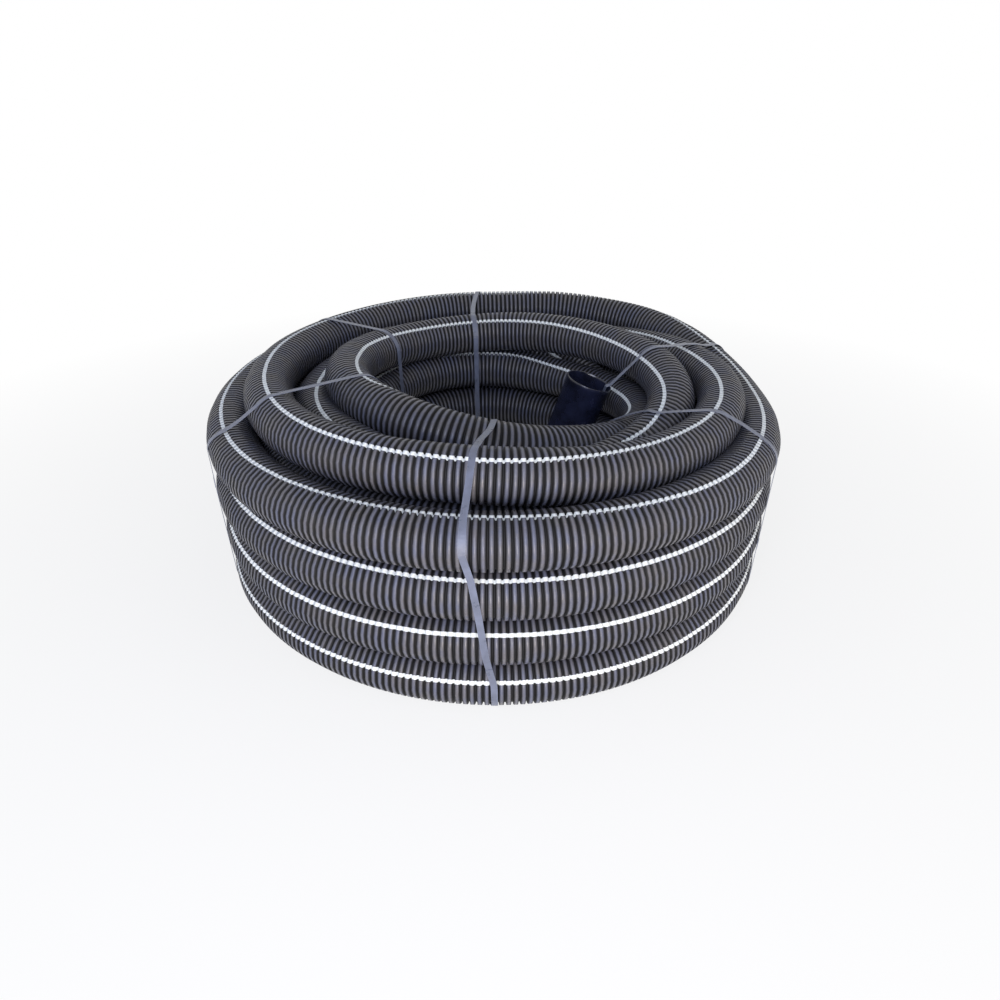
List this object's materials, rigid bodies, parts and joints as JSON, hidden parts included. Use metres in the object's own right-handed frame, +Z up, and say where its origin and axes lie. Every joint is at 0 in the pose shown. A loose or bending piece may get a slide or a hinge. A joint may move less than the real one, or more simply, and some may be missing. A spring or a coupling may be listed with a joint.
{
  "type": "corrugated cable duct coil",
  "caption": "Strapped flat-lying coil of black corrugated cable duct with white stripes and a loose slip-on coupler in its bore.",
  "frame": {"origin": "on the floor, at the coil's axis, which is the centre of the bounding box's underside", "axes": "+Z up along the coil's axis, which is the shortest extent; -Y towards the camera of the reference view; +X towards the coupler"},
  "size_m": [1.3992, 1.3992, 0.529],
  "materials": {
    "duct": "black extruded polyethylene with a low sheen on the crests of its ribs and narrow white stripes along it",
    "strap": "dark grey embossed polypropylene strapping with a soft gloss",
    "coupler": "blue-black injection-moulded polyethylene, satin"
  },
  "bodies": {
    "root": {"duct_coil": "duct", "strap_back_right": "strap", "strap_back": "strap", "strap_back_left": "strap", "strap_front_left": "strap", "strap_front": "strap", "strap_front_right": "strap", "coupler": "coupler"}
  },
  "joints": []
}
